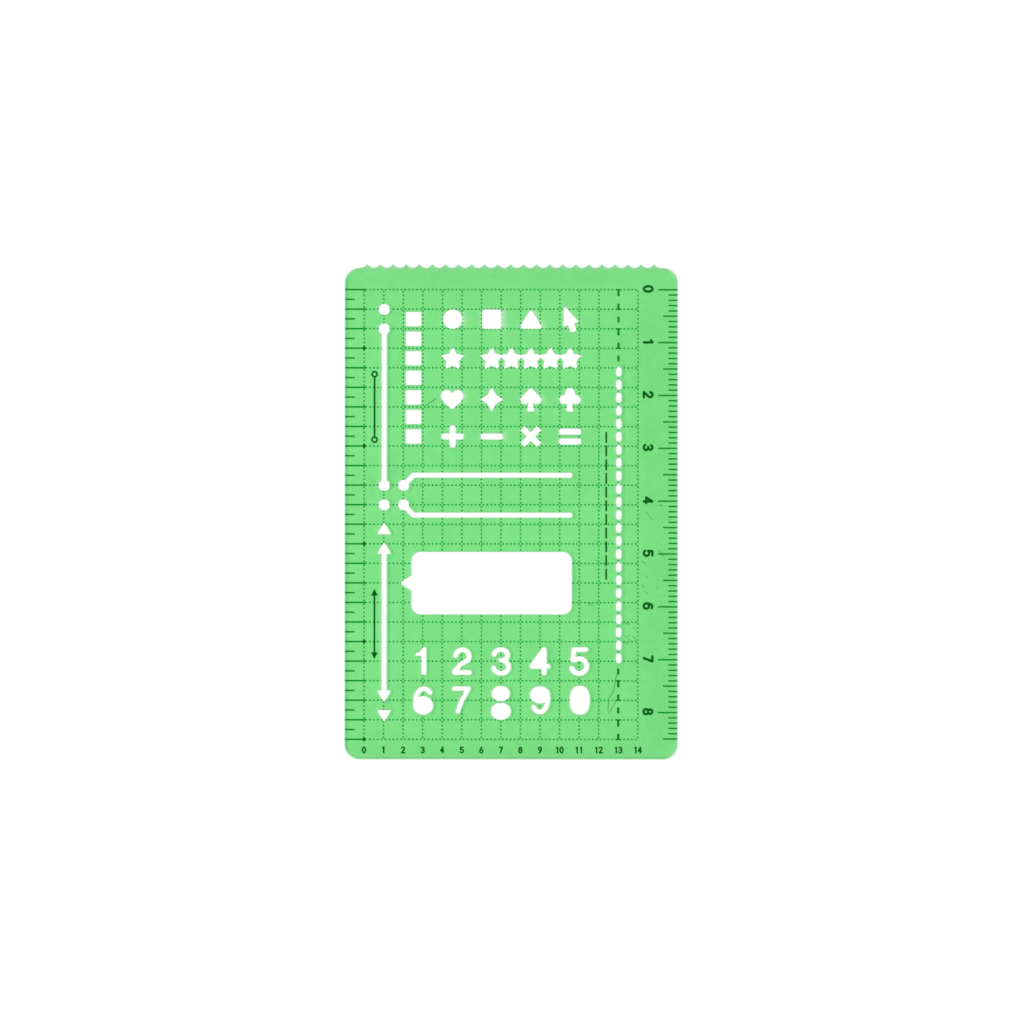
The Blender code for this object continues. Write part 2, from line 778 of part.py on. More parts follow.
def numeral_strokes(value):
    """Centre lines of the strokes of one numeral, each an open path."""
    drawings = {
        0: ring_strokes((0, 0), 0.52, 0.82),
        1: [[(0.12, -0.82), (0.12, 0.82)], [(0.12, 0.82), (-0.3, 0.52)]],
        2: [
            arc((0, 0.36), 0.48, 0.46, -25, 180, 8),
            [(-0.48, -0.8), (0.44, 0.17)],
            [(-0.48, -0.82), (0.5, -0.82)],
        ],
        3: [
            arc((0, 0.4), 0.44, 0.42, -90, 160, 8),
            arc((0, -0.4), 0.5, 0.42, -160, 90, 8),
            [(-0.1, 0.0), (0.1, 0.0)],
        ],
        4: [
            [(0.22, -0.82), (0.22, 0.8)],
            [(0.22, 0.8), (-0.54, -0.36)],
            [(-0.54, -0.36), (0.54, -0.36)],
        ],
        5: [
            [(-0.38, 0.82), (0.44, 0.82)],
            [(-0.38, 0.82), (-0.44, 0.08)],
            arc((0, -0.3), 0.52, 0.52, -155, 140, 9),
        ],
        6: [
            *ring_strokes((0, -0.32), 0.5, 0.5),
            arc((0.1, -0.2), 0.6, 1.02, 60, 180, 6),
        ],
        7: [[(-0.5, 0.82), (0.48, 0.82)], [(-0.16, -0.82), (0.48, 0.82)]],
        8: [
            *ring_strokes((0, 0.42), 0.42, 0.4),
            *ring_strokes((0, -0.4), 0.5, 0.42),
        ],
    }
    return drawings[value]


def numeral_outlines(value):
    """Numeral turned a quarter right, so that it reads from the ruler's side."""
    size = NUMERAL_HEIGHT / NUMERAL_DRAWN_HEIGHT
    centre = (SHEET_WIDTH / 2 - NUMERAL_INSET, tick_y(10 * value) + NUMERAL_LIFT)
    outlines = []
    for path in numeral_strokes(value):
        scaled = [(x * size, y * size) for x, y in path]
        outline = band(scaled, NUMERAL_STROKE, 4)
        outlines.append(moved(turned(outline, -90), centre))
    return outlines


def guide_dash_indices():
    above = list(range(GUIDE_PRINTED_ABOVE))
    first_below = GUIDE_PRINTED_ABOVE + GUIDE_SLOTS
    lowest = row_y(GRID_ROWS - 1)
    below = []
    index = first_below
    while guide_mark_centre(index)[1] > lowest:
        below.append(index)
        index += 1
    return above + below


def build_sheet():
    green = make_material("sheet_green_plastic", (0.2, 0.74, 0.22), 0.35)
    flat_solid("stencil_sheet", green, [sheet_outline()], all_cuts(), 0.0, SHEET_THICKNESS)


def build_print():
    ink = make_material("dark_green_ink", (0.0, 0.13, 0.01), 0.5)
    low = SHEET_THICKNESS
    high = SHEET_THICKNESS + INK_THICKNESS
    flat_solid("left_scale_print", ink, left_scale_outlines(), [], low, high)
    flat_solid("millimetre_scale_print", ink, millimetre_scale_outlines(), [], low, high)
    for value in range(NUMERAL_COUNT):
        flat_solid(f"scale_numeral_{value}", ink, numeral_outlines(value), [], low, high)
    for number, index in enumerate(guide_dash_indices(), start=1):
        x, y = guide_mark_centre(index)
        dash = rectangle((x, y), GUIDE_DASH_WIDTH, GUIDE_DASH_LENGTH, 0.05, 1)
        flat_solid(f"guide_dash_{number:02d}", ink, [dash], [], low, high)


clear_scene()
build_sheet()
build_print()
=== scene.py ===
# Looks of the pocket drawing stencil: a thin translucent green plastic sheet with
# a dark green screen print, lying on a white table and seen from straight above.
#
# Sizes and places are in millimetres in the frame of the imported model, and are
# turned into metres where a mesh, a lamp or the camera is made.

import math
import random

import bmesh
import bpy
import numpy as np
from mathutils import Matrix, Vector
from mathutils.bvhtree import BVHTree
from mathutils.geometry import delaunay_2d_cdt


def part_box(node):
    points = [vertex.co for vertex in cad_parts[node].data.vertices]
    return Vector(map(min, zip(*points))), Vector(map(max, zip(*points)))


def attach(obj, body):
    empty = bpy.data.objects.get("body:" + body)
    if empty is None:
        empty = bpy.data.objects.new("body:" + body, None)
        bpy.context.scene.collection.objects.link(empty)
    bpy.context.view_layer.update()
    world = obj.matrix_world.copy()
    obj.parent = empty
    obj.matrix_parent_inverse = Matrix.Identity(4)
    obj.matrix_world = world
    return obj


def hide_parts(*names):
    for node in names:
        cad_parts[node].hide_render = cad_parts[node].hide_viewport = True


MILLIMETRE = 0.001
# Points of crossing outlines that lie closer than this are taken as one
MERGE_GAP = 0.0005
# Decimal places to which corners that meet are rounded
PLACE_DIGITS = 4
# Faces whose normal rises more than this belong to the upper face
UPWARD = 0.5
# Times that a line is halved to find where it leaves the plastic
HALVINGS = 6
# Segments of a curve, and of the round ends of curved lines, of signs and counts, and of scuffs
CURVE_STEPS = 8
CAP_STEPS = 6
SIGN_CAP_STEPS = 4
SCUFF_CAP_STEPS = 3

# Photograph: its side in pixels, its scale, and how the sheet lies in it
IMAGE_SIDE = 1024
PIXELS_PER_MILLIMETRE = 5.285
VIEW_CENTRE_X = 0.161
VIEW_CENTRE_Y = -0.03
VIEW_ROLL_DEGREES = 0.04
CAMERA_HEIGHT = 1500.0
FARTHEST_SEEN = 10000.0

# Printed grid, placed from the sheet's left and bottom edge as in the solids
GRID_PITCH = 3.7
GRID_COLUMNS = 15
GRID_ROWS = 24
LEFT_MARGIN_WIDTH = 3.68
BOTTOM_MARGIN_HEIGHT = 3.78
DOTS_PER_PITCH = 5
DOT_LENGTH = 0.46
DOT_WIDTH = 0.38
DOT_SIDES = 8
MARKED_ROWS = (3, 8, 13, 18, 23)
MARK_WIDTH = 0.84
MARK_HEIGHT = 0.94

# Printed scales
INK_THICKNESS = 0.02
SECOND_COAT = 0.004
INK_DEPTH = 0.04
EDGE_GAP = 0.05
ROW_TICK_WIDTH = 0.31
HALF_ROW_TICK = 1.85
TICK_OVERRUN = 0.5
MILLIMETRE_TICKS = 86
MILLIMETRE_TICK_WIDTH = 0.3
TENS_TICK = 3.65
FIVES_TICK = 2.7
UNITS_TICK = 1.7

# Broken guide line in its column of the grid
GUIDE_COLUMN = 13
GUIDE_MARKS_PER_PITCH = 1.5
GUIDE_MARK_LEAD = 0.69
GUIDE_PRINTED_ABOVE = 6
GUIDE_SLOTS = 23
BRIDGE_MARK_WIDTH = 0.46
BRIDGE_MARK_HEIGHT = 0.26
SERIF_ROWS = (0, 1, 2, 3, 20, 21, 22, 23)
SERIF_REACH = 0.5
SERIF_WIDTH = 0.26

# Generic signs beside the cut-outs: what each slot draws, and the column numbers
SIGN_STROKE = 0.34
SIGN_WIDTH = 1.3
SIGN_COLUMN = 0.53
RING_SIGN_ROWS = (4.15, 7.85)
ARROW_SIGN_ROWS = (15.3, 18.9)
GUIDE_SIGN_COLUMN = 12.38
GUIDE_SIGN_ROWS = (7.2, 14.9)
GUIDE_SIGN_DASHES = 11
# Length of a dash as a share of the dashes' pitch
GUIDE_SIGN_DASH_SHARE = 0.7
COUNT_HEIGHT = 1.1
# From one digit to the next, as a share of the height
COUNT_STEP_SHARE = 0.72
COUNT_STROKE = 0.29
COUNT_DROP = 2.0

# Rims that punching leaves: a small round, and a broad shallow roll round it
RIM_RADIUS = 0.06
ROLL_DEPTH = 0.014
ROLL_REACH = 0.2
# Spacing of the points along the rims, and the rows of points beside them
RIM_SPACING = 0.5
RIM_DISTANCES = (0.02, 0.06, 0.13, 0.22, 0.33, 0.46, 0.62, 0.85, 1.2)
# As shares of a row's distance: how close its points lie, and how near they may be to a rim
ROW_CELL_SHARE = 0.7
ROW_CLEAR_SHARE = 0.9
# Limits how far a row runs out at a sharp corner
LEAST_SQUARE_SIDEWAYS = 0.3
# Degrees between faces from which their edge is sharp
SHARP_ANGLE = 60

# Ways from a point of the plastic to the edge that is nearest to it
LEFT = (-1, 0)
RIGHT = (1, 0)
UP = (0, 1)
DOWN = (0, -1)
# Painted shade lines (deep green) and painted shadow bands (rich green) beside an edge: way to it,
# strength, distance and half width
CUT_SHADE_LINES = ((DOWN, 0.3, 0.16, 0.1), (UP, 0.2, 0.25, 0.12))
SHEET_SHADE_LINES = ((DOWN, 0.4, 0.3, 0.14), (UP, 0.3, 0.25, 0.15))
CUT_SHADOW_BANDS = ((LEFT, 0.14, 0.32, 0.15),)
SHEET_SHADOW_BANDS = ((LEFT, 0.9, 0.34, 0.24),)
BROAD_SHADOW_BANDS = ((LEFT, 0.56, 0.43, 0.22),)
# Broad painted shadow bands lie beside cut-outs from this row down, left of this column or on the
# guide line
FIRST_SHADOW_BANDED_ROW = 8.5
SHADOW_BANDED_COLUMNS = 2
# Painted light along the rims: way to the edge and strength
CUT_LIGHT_RIMS = ((LEFT, 0.4), (RIGHT, 0.55), (UP, 0.26), (DOWN, 0.34))
SHEET_LIGHT_RIMS = ((LEFT, 0.5), (RIGHT, 0.5), (UP, 0.55), (DOWN, 0.36))
LIGHT_RIM_REACH = 0.16
# Painted highlight along the sheet's rounded corners: strength and reach
CORNER_HIGHLIGHT = 0.6
CORNER_HIGHLIGHT_REACH = 0.22
# Cut-outs beside which a painted glow lightens the plastic, by column and row
GLOWING_CUTS = {
    (4.5, 1.5): 0.5, (6.5, 1.5): 0.54, (8.5, 1.5): 0.52, (10.5, 1.5): 0.22,
    (4.5, 3.5): 0.22, (8.5, 3.5): 0.22,
    (4.5, 5.5): 0.38, (6.5, 5.5): 0.16, (8.5, 5.5): 0.36, (10.5, 5.5): 0.22,
    (4.5, 7.5): 0.18, (6.5, 7.5): 0.42, (8.5, 7.5): 0.2, (10.5, 7.5): 0.08,
}
# A cut-out counts as the one named when its middle lies this close, in grid pitches
CUT_MATCH_GAP = 0.4
CHECK_BOX_COLUMN = 2.5
CHECK_BOX_MATCH_GAP = 0.1
CHECK_BOX_GLOW = 0.2
# How far the painted glow reaches: a distance, and what is added to it at full strength
GLOW_SPAN = 0.6
GLOW_SPAN_GAIN = 1.25
GLOW_LEFT_SHARE = 0.25
# The scalloped top edge grows dull from a little below its hollows up
CREST_HEIGHT = 0.7
CREST_FADE = 0.2
CREST_DULLNESS = 0.7

# The margins beyond the grid are a shade deeper
MARGIN_FADE = 2.0
MARGIN_DEPTH = 0.07

# Wear: a fibre and a scratch, by their points in pixels of the photograph, and fine scuffs
FIBRE_PIXELS = (
    (617.1, 674.2), (615.4, 678.8), (613.9, 690.3), (608.8, 698.9), (607.9, 710.4),
    (609.1, 712.7), (611.6, 709.2), (616.2, 700.6), (618.2, 699.7),
)
FIBRE_WIDTH = 0.13
FIBRE_HEIGHT = 0.03
SCRATCH_PIXELS = ((425.5, 405.5), (436.5, 398.5))
SCUFF_WIDTH = 0.15
SCUFF_HEIGHT = 0.004
SCUFF_HALF_LENGTHS = (0.1, 0.4)
# Degrees: the way that scuffs run, and how much it varies
SCUFF_TURN = -45
SCUFF_TURN_SPREAD = 12
SCUFF_SEED = 7
# Groups of scuffs: middle in pixels of the photograph, spread in pixels, and how many
SCUFF_GROUPS = (
    ((660, 505), 3, 4), ((649, 516), 3, 4), ((673, 491), 3, 3), ((661, 554), 3, 4),
    ((645, 563), 4, 3), ((626, 623), 4, 6), ((632, 637), 8, 7), ((590, 604), 5, 4),
    ((600, 560), 5, 3), ((640, 585), 14, 4),
)

# Colours, linear
PLASTIC_GREEN = (0.18, 0.793, 0.208)
PLASTIC_PALE_GREEN = (0.196, 0.823, 0.232)
# Deep green: for the speckle, the deeper margins, and the painted shade lines along the rims
PLASTIC_DEEP_GREEN = (0.0, 0.24, 0.04)
# Green of the painted shadow bands beside the rims
PLASTIC_SHADOW_GREEN = (0.0, 0.5, 0.05)
# Near-white of the painted light along the rims and the painted glow round some cut-outs
PLASTIC_PAINTED_LIGHT = (0.9, 0.97, 0.9)
PLASTIC_DULL_GREEN = (0.42, 0.58, 0.45)
# Share of the light that passes the upper face and the rims; the underside passes all
PLASTIC_TRANSMISSION = 0.4
PLASTIC_REFRACTION = 1.46
# Materials that lie on the sheet, each with the two colours between which it varies
INKS = {
    "green_ink": ((0.0, 0.14, 0.01), (0.0, 0.105, 0.004)),
    "thin_green_ink": ((0.002, 0.33, 0.035), (0.0, 0.25, 0.02)),
    "fine_dot_ink": ((0.03, 0.47, 0.085), (0.02, 0.38, 0.06)),
    "guide_ink": ((0.002, 0.26, 0.03), (0.0, 0.2, 0.016)),
    "dense_guide_ink": ((0.0, 0.18, 0.018), (0.0, 0.14, 0.01)),
    "faded_ink": ((0.1, 0.37, 0.2), (0.09, 0.33, 0.2)),
    "scuffed_plastic": ((0.13, 0.52, 0.15), (0.1, 0.42, 0.12)),
    "dark_wear": ((0.06, 0.34, 0.1), (0.05, 0.28, 0.08)),
}
TABLE_WHITE = (0.9, 0.9, 0.9)
TABLE_WHITE_DEEP = (0.88, 0.88, 0.88)

# Surfaces: roughness and specular level, then how far the roughness varies
PLASTIC_SHEEN = (0.38, 0.35)
PLASTIC_ROUGHNESSES = (0.32, 0.44)
INK_SHEEN = (0.6, 0.03)
INK_ROUGHNESSES = (0.5, 0.7)
TABLE_SHEEN = (0.9, 0.1)
# Spots in each surface, by size, and the most deep green that the speckle adds
CLOUD_SIZE = 9.0
SPECKLE_SIZE = 0.9
SPECKLE_DEPTH = 0.08
PLASTIC_SHEEN_SIZE = 2.2
INK_PATCH_SIZE = 0.7
INK_SHEEN_SIZE = 0.3
TABLE_GRAIN_SIZE = 30.0
# Detail of plain and of finer noise, and the range in which most of a noise lies
PLAIN_DETAIL = 2.0
FINE_DETAIL = 3.0
NOISE_RANGE = (0.3, 0.7)
# Fine relief: size of its spots, and depth
PLASTIC_GRAIN_SIZE = 0.25
PLASTIC_GRAIN_DEPTH = 0.01
INK_GRAIN_SIZE = 0.12
INK_GRAIN_DEPTH = 0.006
GRAIN_STRENGTH = 0.5

# Table and light. The glow share is how much of the table's look is plain white.
TABLE_SIDE = 3000.0
TABLE_DROP = 0.05
TABLE_GLOW = 1.05
TABLE_GLOW_SHARE = 0.8
WORLD_LIGHT = 0.55
LAMP_SIZE = 1600.0
LAMP_POWER = 13
LAMP_PLACE = (-500.0, 0.0, 1400.0)


def sheet_box():
    """Lowest and highest corner of the sheet, in millimetres."""
    low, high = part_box("stencil_sheet")
    return low / MILLIMETRE, high / MILLIMETRE


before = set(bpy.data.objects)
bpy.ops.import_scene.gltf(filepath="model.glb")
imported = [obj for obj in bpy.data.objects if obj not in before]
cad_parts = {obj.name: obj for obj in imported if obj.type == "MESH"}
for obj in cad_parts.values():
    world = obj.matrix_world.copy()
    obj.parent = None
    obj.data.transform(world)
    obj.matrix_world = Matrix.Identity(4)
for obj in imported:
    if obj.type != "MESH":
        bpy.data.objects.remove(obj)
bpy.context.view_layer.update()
SHEET_LOW, SHEET_HIGH = sheet_box()
# Height of the upper face
SHEET_TOP = SHEET_HIGH.z


def column_x(column):
    """X of a grid column; parts of a column are allowed."""
    return SHEET_LOW.x + LEFT_MARGIN_WIDTH + column * GRID_PITCH


def row_y(row):
    """Y of a grid row, counted from the top; parts of a row are allowed."""
    return SHEET_LOW.y + BOTTOM_MARGIN_HEIGHT + (GRID_ROWS - 1 - row) * GRID_PITCH


# Flat outlines: lists of (x, y) points that run anticlockwise

def arc(centre, radius, start, end, steps):
    """Points from one angle to another, in degrees, both ends included."""
    points = []
    for step in range(steps + 1):
        angle = math.radians(start + (end - start) * step / steps)
        points.append((centre[0] + radius * math.cos(angle), centre[1] + radius * math.sin(angle)))
    return points


def half_ovals(centre, radius_x, radius_y):
    """Right and left half of an oval line, as two paths that meet."""
    halves = []
    for start in (-90, 90):
        half = arc((0, 0), 1, start, start + 180, CURVE_STEPS)
        halves.append([(centre[0] + radius_x * x, centre[1] + radius_y * y) for x, y in half])
    return halves


def oval(centre, width, height, sides):
    points = []
    for side in range(sides):
        angle = 2 * math.pi * (side + 0.5) / sides
        x = centre[0] + width / 2 * math.cos(angle)
        y = centre[1] + height / 2 * math.sin(angle)
        points.append((x, y))
    return points


def box(x_from, x_to, y_from, y_to):
    return [(x_from, y_from), (x_to, y_from), (x_to, y_to), (x_from, y_to)]


def band(path, width, steps=CAP_STEPS):
    """Stroke of one width with round ends along a smooth path."""
    points = [Vector(point) for point in path]
    left = []
    right = []
    for index, point in enumerate(points):
        before = points[max(index - 1, 0)]
        after = points[min(index + 1, len(points) - 1)]
        along = (after - before).normalized()
        side = Vector((-along.y, along.x)) * (width / 2)
        left.append(tuple(point + side))
        right.append(tuple(point - side))
    last_way = points[-1] - points[-2]
    first_way = points[1] - points[0]
    last_angle = math.degrees(math.atan2(last_way.y, last_way.x))
    first_angle = math.degrees(math.atan2(first_way.y, first_way.x))
    last_cap = arc(points[-1], width / 2, last_angle - 90, last_angle + 90, steps)
    first_cap = arc(points[0], width / 2, first_angle + 90, first_angle + 270, steps)
    return right[1:-1] + last_cap + left[-2:0:-1] + first_cap


def strokes(corners, width):
    """Straight strokes from corner to corner."""
    return [band(pair, width, SIGN_CAP_STEPS) for pair in zip(corners, corners[1:])]


# The sheet's plastic, for telling where ink can lie

def sheet_tree():
    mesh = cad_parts["stencil_sheet"].data
    places = [vertex.co for vertex in mesh.vertices]
    faces = [tuple(face.vertices) for face in mesh.polygons]
    return BVHTree.FromPolygons(places, faces)


SHEET_TREE = sheet_tree()


def on_plastic(x, y):
    above = Vector((x, y, SHEET_TOP + 1)) * MILLIMETRE
    return SHEET_TREE.ray_cast(above, Vector((0, 0, -1)))[0] is not None


def rim_between(inside, outside):
    """The point where a short line leaves the plastic."""
    inside = Vector(inside)
    outside = Vector(outside)
    for _halving in range(HALVINGS):
        middle = (inside + outside) / 2
        if on_plastic(*middle):
            inside = middle
        else:
            outside = middle
    return tuple(inside)


def clipped(outline):
    """The part of a small outline that lies on plastic, or an empty list."""
    states = [on_plastic(*point) for point in outline]
    if all(states):
        return outline
    points = []
    for index, point in enumerate(outline):
        following = (index + 1) % len(outline)
        if states[index]:
            points.append(point)
        if states[index] and not states[following]:
            points.append(rim_between(point, outline[following]))
        if states[following] and not states[index]:
            points.append(rim_between(outline[following], point))
    return points if len(points) > 2 else []


# Solids

def prism(solid, outline, low, high):
    """Adds a closed upright prism over a convex outline."""
    floor = [solid.verts.new(Vector((x, y, low)) * MILLIMETRE) for x, y in outline]
    roof = [solid.verts.new(Vector((x, y, high)) * MILLIMETRE) for x, y in outline]
    solid.faces.new(floor[::-1])
    solid.faces.new(roof)
    for index in range(len(outline)):
        following = (index + 1) % len(outline)
        solid.faces.new((floor[index], floor[following], roof[following], roof[index]))


def joined_solid(solid, outlines, low, high):
    """Adds closed upright solids over outlines that may overlap each other."""
    coordinates = []
    loops = []
    for outline in outlines:
        start = len(coordinates)
        coordinates += [Vector(point) for point in outline]
        loops.append(list(range(start, len(coordinates))))
    result = delaunay_2d_cdt(coordinates, [], loops, 1, MERGE_GAP, True)
    points, triangles, owners = result[0], result[2], result[5]
    corners = {}
    floor = []
    for triangle, owner in zip(triangles, owners):
        if not owner:
            continue
        for index in triangle:
            if index not in corners:
                x, y = points[index]
                corners[index] = solid.verts.new(Vector((x, y, low)) * MILLIMETRE)
        floor.append(solid.faces.new([corners[index] for index in triangle]))
    raised = bmesh.ops.extrude_face_region(solid, geom=floor, use_keep_orig=True)
    for element in raised["geom"]:
        if isinstance(element, bmesh.types.BMVert):
            element.co.z = high * MILLIMETRE


def placed_piece(name, mesh, material):
    mesh.materials.append(material)
    piece = bpy.data.objects.new(name, mesh)
    bpy.context.scene.collection.objects.link(piece)
    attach(piece, "root")
    return piece


def ink_piece(name, solid, material):
    mesh = bpy.data.meshes.new(name)
    bmesh.ops.recalc_face_normals(solid, faces=solid.faces[:])
    solid.to_mesh(mesh)
    solid.free()
    return placed_piece(name, mesh, material)


def ink_prisms(name, outlines, material, thickness=INK_THICKNESS):
    """Ink over convex outlines. It starts below the face, so that it meets rolled rims."""
    solid = bmesh.new()
    for outline in outlines:
        prism(solid, outline, SHEET_TOP - INK_DEPTH, SHEET_TOP + thickness)
    return ink_piece(name, solid, material)


def ink_strokes(name, outlines, material, thickness=INK_THICKNESS):
    solid = bmesh.new()
    joined_solid(solid, outlines, SHEET_TOP - INK_DEPTH, SHEET_TOP + thickness)
    return ink_piece(name, solid, material)


# The sheet's skin: the solid's own outline, with rims as punching leaves them

def rim_loops():
    """Outline points of the upper face in order, with plastic on the left of their way."""
    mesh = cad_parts["stencil_sheet"].data
    edges = set()
    for face in mesh.polygons:
        if face.normal.z < UPWARD:
            continue
        corners = []
        for index in face.vertices:
            place = mesh.vertices[index].co / MILLIMETRE
            corners.append((round(place.x, PLACE_DIGITS), round(place.y, PLACE_DIGITS)))
        edges.update(zip(corners, corners[1:] + corners[:1]))
    following = {start: end for start, end in edges if (end, start) not in edges}
    loops = []
    while following:
        loop = [min(following)]
        while loop[-1] in following:
            loop.append(following.pop(loop[-1]))
        loops.append(loop[:-1])
    return loops


def spaced(loop, spacing):
    """The loop with points between its corners, no further apart than the spacing."""
    points = []
    for start, end in zip(loop, loop[1:] + loop[:1]):
        start = Vector(start)
        end = Vector(end)
        pieces = max(1, math.ceil((end - start).length / spacing))
        points += [start.lerp(end, piece / pieces) for piece in range(pieces)]
    return points


def inset(points, distance):
    """The loop moved sideways into the plastic."""
    made = []
    for index, point in enumerate(points):
        along = (point - points[index - 1]).normalized()
        along_next = (points[(index + 1) % len(points)] - point).normalized()
        middle = (along + along_next) / 2
        sideways = Vector((-middle.y, middle.x))
        made.append(point + sideways * distance / max(sideways.length_squared, LEAST_SQUARE_SIDEWAYS))
    return made


def wall_tree(loops):
    """Upright walls along the loops. Between them, the nearest wall is the nearest edge."""
    places = []
    faces = []
    for loop in loops:
        for start, end in zip(loop, loop[1:] + loop[:1]):
            first = len(places)
            places += [(*start, -1), (*end, -1), (*end, 1), (*start, 1)]
            faces.append(range(first, first + 4))
    return BVHTree.FromPolygons(places, faces)


def to_nearest_edge(points, loops):
    """Distance of each point from the nearest edge, and the unit way towards it."""
    tree = wall_tree(loops)
    distances = []
    ways = []
    for x, y in points:
        nearest, _normal, _wall, distance = tree.find_nearest((x, y, 0))
        distances.append(distance)
        gap = max(distance, MERGE_GAP)
        ways.append(((nearest.x - x) / gap, (nearest.y - y) / gap))
    return np.array(distances), np.array(ways)


def face_points(loops):
    """Points of the upper face beside the rims, none twice and none across a rim."""
    made = []
    for distance in RIM_DISTANCES:
        cell = ROW_CELL_SHARE * distance
        places = {}
        for loop in loops:
            for point in inset(loop, distance):
                places[round(point.x / cell), round(point.y / cell)] = point
        candidates = list(places.values())
        true_distances, _ways = to_nearest_edge(candidates, loops)
        for point, true_distance in zip(candidates, true_distances):
            if true_distance > ROW_CLEAR_SHARE * distance and on_plastic(*point):
                made.append(point)
    return made


def triangulated(loops, extra_points):
    """Points and triangles of the face inside the loops, and each loop's point numbers."""
    coordinates = []
    rings = []
    for loop in loops:
        start = len(coordinates)
        coordinates += loop
        rings.append(list(range(start, len(coordinates))))
    holes = [ring[::-1] for ring in rings[1:]]
    coordinates += extra_points
    result = delaunay_2d_cdt(coordinates, [], [rings[0], *holes], 1, MERGE_GAP, True)
    points, triangles, sources, owners = result[0], result[2], result[3], result[5]
    numbers = {source: number for number, inputs in enumerate(sources) for source in inputs}
    inside = [tuple(triangle) for triangle, owner in zip(triangles, owners) if list(owner) == [0]]
    return points, inside, [[numbers[place] for place in ring] for ring in rings]


def roll_off(distances):
    """How far the upper face has sunk at each distance from a rim."""
    roll = ROLL_DEPTH * np.exp(-distances / ROLL_REACH)
    across = np.clip(RIM_RADIUS - distances, 0, None)
    return roll + RIM_RADIUS - np.sqrt(RIM_RADIUS ** 2 - across ** 2)


def side_share(ways, way):
    """How squarely the nearest edge lies that way, from 0 to 1."""
    return np.clip(ways @ np.array(way), 0, 1) ** 2


def bump(distances, middle, reach):
    return np.exp(-((distances - middle) / reach) ** 2)


def loop_centre(loop):
    """Grid column and row of the middle of a cut-out."""
    xs = [point[0] for point in loop]
    ys = [point[1] for point in loop]
    x = (min(xs) + max(xs)) / 2
    y = (min(ys) + max(ys)) / 2
    return (x - column_x(0)) / GRID_PITCH, (row_y(0) - y) / GRID_PITCH


# Whether a cut-out has a broad painted shadow band beside it
def has_broad_band(loop):
    column, row = loop_centre(loop)
    return row > FIRST_SHADOW_BANDED_ROW or column < SHADOW_BANDED_COLUMNS or column > GUIDE_COLUMN - 1


def darker_rims(points, *groups):
    """Share of painted shade at each point: darker lines or bands along the edges on some of their
    sides.
    """
    shade = np.zeros(len(points))
    for loops, lines in groups:
        distances, ways = to_nearest_edge(points, loops)
        for way, strength, middle, reach in lines:
            shade += strength * side_share(ways, way) * bump(distances, middle, reach)
    return shade


# Strength of the painted glow beside a cut-out
def pale_strength(loop):
    column, row = loop_centre(loop)
    if abs(column - CHECK_BOX_COLUMN) < CHECK_BOX_MATCH_GAP and row < FIRST_SHADOW_BANDED_ROW:
        return CHECK_BOX_GLOW
    for (cut_column, cut_row), strength in GLOWING_CUTS.items():
        if max(abs(column - cut_column), abs(row - cut_row)) < CUT_MATCH_GAP:
            return strength
    return 0


def corner_rims(points, outer):
    """Share of painted highlight along the sheet's rounded corners, whose edge lies aslant."""
    distances, ways = to_nearest_edge(points, outer)
    aslant = 4 * (ways[:, 0] * ways[:, 1]) ** 2
    below_crests = points[:, 1] < SHEET_HIGH.y - CREST_HEIGHT
    return CORNER_HIGHLIGHT * aslant * below_crests * np.exp(-distances / CORNER_HIGHLIGHT_REACH)


def paler_rims(points, outer, cuts):
    """Share of painted light at each point, along all edges and broader beside some cut-outs."""
    painted_light = corner_rims(points, outer)
    for loops, rims in ((cuts, CUT_LIGHT_RIMS), (outer, SHEET_LIGHT_RIMS)):
        distances, ways = to_nearest_edge(points, loops)
        for way, strength in rims:
            painted_light += strength * side_share(ways, way) * np.exp(-distances / LIGHT_RIM_REACH)
    for loop in cuts:
        strength = pale_strength(loop)
        distances, ways = to_nearest_edge(points, [loop])
        fading = np.clip(1 - distances / (GLOW_SPAN + GLOW_SPAN_GAIN * strength), 0, 1)
        sides = side_share(ways, LEFT) + GLOW_LEFT_SHARE * side_share(ways, RIGHT)
        painted_light = np.maximum(painted_light, strength * sides * fading)
    return painted_light


def dull_crests(points):
    """Share of dull green at each point, up the crests of the top edge."""
    height = points[:, 1] - (SHEET_HIGH.y - CREST_HEIGHT - CREST_FADE)
    return CREST_DULLNESS * np.clip(height / (CREST_HEIGHT + CREST_FADE), 0, 1)


def add_values(mesh, name, values):
    """Gives the mesh's first points a value each, and the rest nought."""
    layer = mesh.attributes.new(name, "FLOAT", "POINT")
    filled = np.zeros(len(mesh.vertices), dtype=np.float32)
    filled[:len(values)] = values
    layer.data.foreach_set("value", filled)


